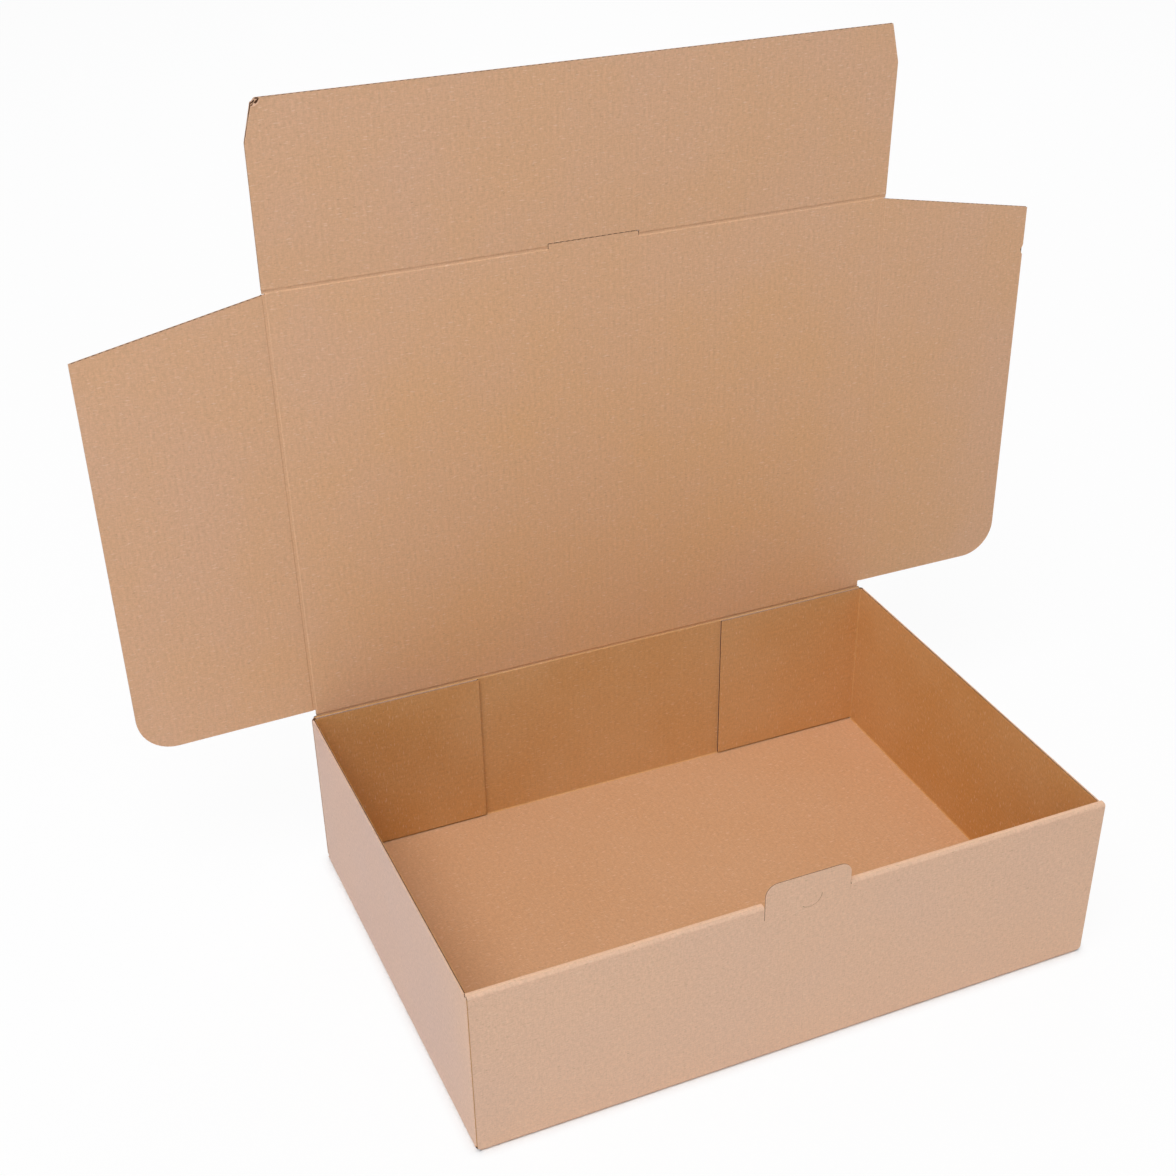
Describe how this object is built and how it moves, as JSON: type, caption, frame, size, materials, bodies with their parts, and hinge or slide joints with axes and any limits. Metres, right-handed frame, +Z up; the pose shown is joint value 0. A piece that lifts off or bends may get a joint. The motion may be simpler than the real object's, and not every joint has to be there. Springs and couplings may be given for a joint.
{
  "type": "corrugated box",
  "caption": "Open one-piece corrugated mailing box: a tray with a rolled-over front wall and locking tab, and a hinged lid with side and tuck flaps.",
  "frame": {"origin": "centre of the tray's flat underside, on the surface the box stands on", "axes": "+Z up; +Y from the front wall, with the locking tab, towards the hinged back wall; +X to the right seen from the front"},
  "size_m": [0.5358, 0.2538, 0.4332],
  "materials": {
    "board": "plain brown kraft liner on thin-flute corrugated board, matte"
  },
  "bodies": {
    "tray": {"tray": "board"},
    "lid": {"lid_panel": "board"},
    "tuck_flap": {"lid_tuck_flap": "board"},
    "left_flap": {"lid_side_flap_left": "board"},
    "right_flap": {"lid_side_flap_right": "board"}
  },
  "joints": [
    {"name": "lid_hinge", "type": "hinge", "parent": "tray", "child": "lid", "pos_m": [0, 0.12425, 0.0992], "axis": [1, 0, 0], "range_deg": [-100, 87]},
    {"name": "tuck_fold", "type": "hinge", "parent": "lid", "child": "tuck_flap", "pos_m": [0, 0.12806, 0.34187], "axis": [1, 0, 0], "range_deg": [-22.5, 95.5]},
    {"name": "left_flap_fold", "type": "hinge", "parent": "lid", "child": "left_flap", "pos_m": [-0.17245, 0.12425, 0.0992], "axis": [0, 0.0157, 0.9999], "range_deg": [-22, 88]},
    {"name": "right_flap_fold", "type": "hinge", "parent": "lid", "child": "right_flap", "pos_m": [0.17245, 0.12425, 0.0992], "axis": [0, -0.0157, -0.9999], "range_deg": [-20, 90]}
  ]
}
